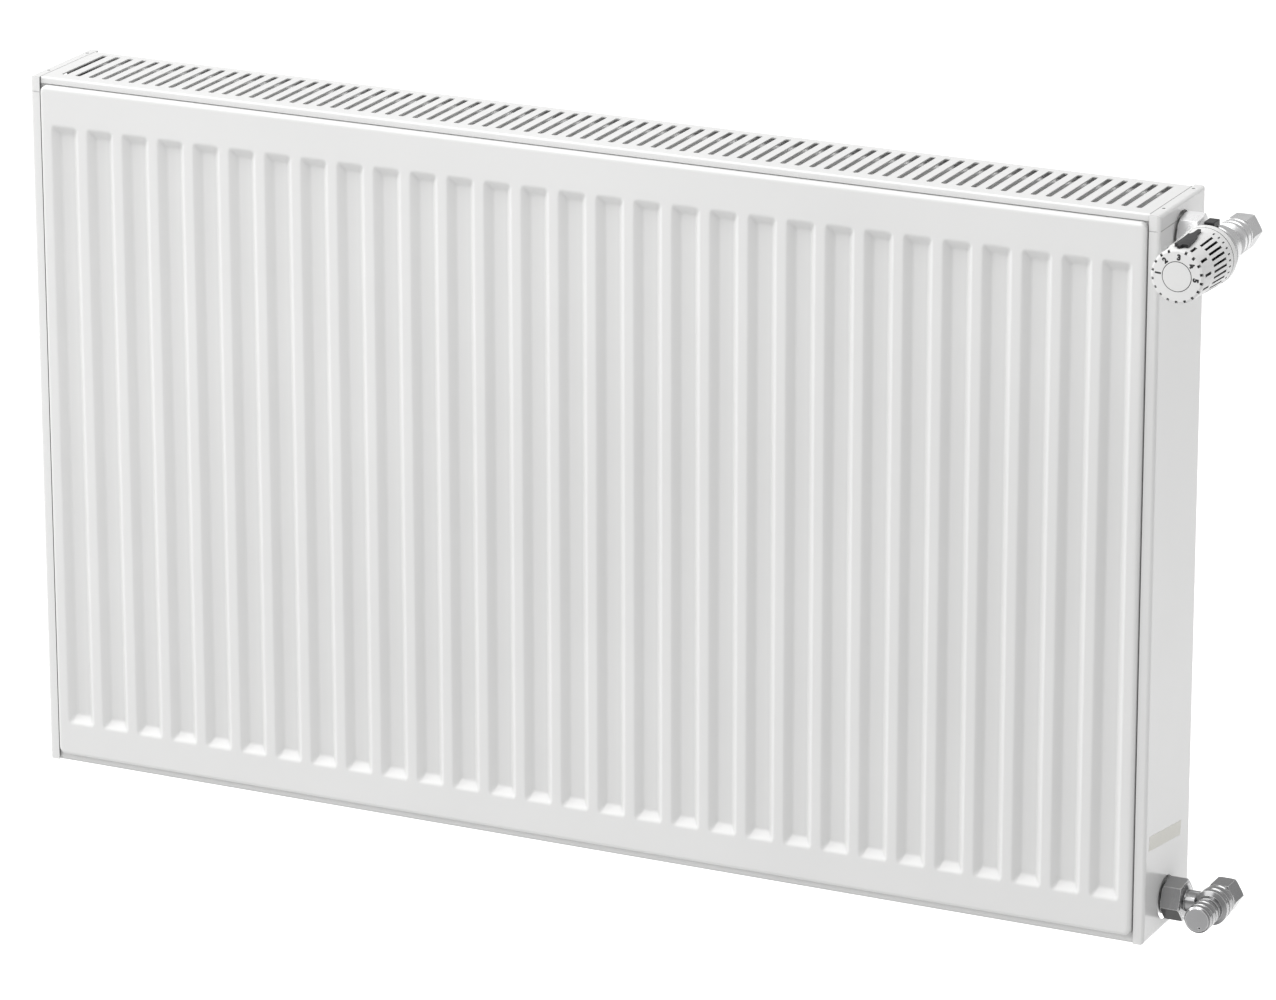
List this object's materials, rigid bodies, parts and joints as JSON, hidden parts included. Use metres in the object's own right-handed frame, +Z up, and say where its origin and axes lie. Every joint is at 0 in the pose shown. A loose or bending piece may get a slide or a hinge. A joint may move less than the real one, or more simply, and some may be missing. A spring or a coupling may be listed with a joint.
{
  "type": "radiator with valve",
  "caption": "Flat steel panel heating radiator with pressed upright channels, a slotted top grille, a thermostatic valve above and a lockshield valve below.",
  "frame": {"origin": "middle of the four hanging lugs, on the plane where they meet the wall brackets", "axes": "+X to the right seen from the room, +Y from the front face to the wall, +Z up"},
  "size_m": [1.0761, 0.1761, 0.601],
  "materials": {
    "white_enamel": "gloss powder coat",
    "convector_enamel": "satin primer coat",
    "black_rubber": "matte",
    "nickel_plate": "polished nickel",
    "brass": "machined",
    "steel": "ground",
    "white_plastic": "semi-gloss",
    "black_plastic": "satin",
    "sensor_metal": "drawn",
    "cream_label": "paper film"
  },
  "bodies": {
    "radiator": {"air_vent_plug": "nickel_plate", "air_vent_plug_seal": "black_rubber", "blanking_plug": "nickel_plate", "blanking_plug_seal": "black_rubber", "front_convector_left": "convector_enamel", "front_convector_right": "convector_enamel", "front_panel_inner_sheet": "white_enamel", "front_panel_outer_sheet": "white_enamel", "head_base": "black_plastic", "head_index_block": "black_plastic", "head_seam_ring": "black_plastic", "left_side_cover": "white_enamel", "lockshield_body": "nickel_plate", "lockshield_cap": "nickel_plate", "lockshield_compression_nut": "nickel_plate", "lockshield_gland": "brass", "lockshield_olive": "brass", "lockshield_union_nut": "nickel_plate", "lockshield_union_tail": "nickel_plate", "lug_lower_left": "white_enamel", "lug_lower_right": "white_enamel", "lug_upper_left": "white_enamel", "lug_upper_right": "white_enamel", "rear_convector_left": "convector_enamel", "rear_convector_right": "convector_enamel", "rear_panel_inner_sheet": "white_enamel", "rear_panel_outer_sheet": "white_enamel", "right_side_cover": "white_enamel", "side_label": "cream_label", "tee_lower_left": "white_enamel", "tee_lower_right": "white_enamel", "tee_upper_left": "white_enamel", "tee_upper_right": "white_enamel", "top_grille": "white_enamel", "trv_body": "nickel_plate", "trv_compression_nut": "nickel_plate", "trv_coupling_nut": "nickel_plate", "trv_gland_seal": "black_rubber", "trv_olive": "brass", "trv_union_nut": "nickel_plate", "trv_union_tail": "nickel_plate", "trv_valve_insert": "brass"},
    "handwheel": {"handwheel": "white_plastic", "handwheel_centre_cap": "white_plastic", "memory_clip": "black_plastic"},
    "sensor": {"sensor_element": "sensor_metal"},
    "valve_spindle": {"trv_spindle": "steel", "trv_disc_seal": "black_rubber"},
    "lockshield_spindle": {"lockshield_spindle": "steel"},
    "lockshield_cone": {"lockshield_cone": "brass"},
    "bleed_screw": {"bleed_screw": "brass"},
    "vent_nozzle": {"vent_nozzle": "white_plastic"}
  },
  "joints": [
    {"name": "handwheel_turn", "type": "hinge", "parent": "radiator", "child": "handwheel", "pos_m": [0.541, -0.14, 0.275], "axis": [0, 1, 0], "range_deg": [-90, 135]},
    {"name": "sensor_travel", "type": "slide", "parent": "radiator", "child": "sensor", "axis": [0, 1, 0], "range_m": [-0.00101, 0.00151]},
    {"name": "valve_spindle_travel", "type": "slide", "parent": "radiator", "child": "valve_spindle", "axis": [0, 1, 0], "range_m": [-0.001, 0.0015]},
    {"name": "lockshield_turn", "type": "hinge", "parent": "radiator", "child": "lockshield_spindle", "pos_m": [0.541, -0.08, -0.275], "axis": [0, 1, 0], "range_deg": [0, 1080]},
    {"name": "lockshield_cone_travel", "type": "slide", "parent": "radiator", "child": "lockshield_cone", "axis": [0, 1, 0], "range_m": [0, 0.003]},
    {"name": "bleed_screw_turn", "type": "hinge", "parent": "radiator", "child": "bleed_screw", "pos_m": [-0.505, -0.06, 0.275], "axis": [-1, 0, 0], "range_deg": [0, 540]},
    {"name": "vent_nozzle_turn", "type": "hinge", "parent": "radiator", "child": "vent_nozzle", "pos_m": [-0.508, -0.06, 0.275], "axis": [-1, 0, 0], "continuous": true}
  ],
  "couplings": [
    {"joint": "sensor_travel", "follows": "valve_spindle_travel", "ratio": 1},
    {"joint": "handwheel_turn", "follows": "valve_spindle_travel", "rad_per_m": 1570.7},
    {"joint": "lockshield_turn", "follows": "lockshield_cone_travel", "rad_per_m": 6283}
  ]
}
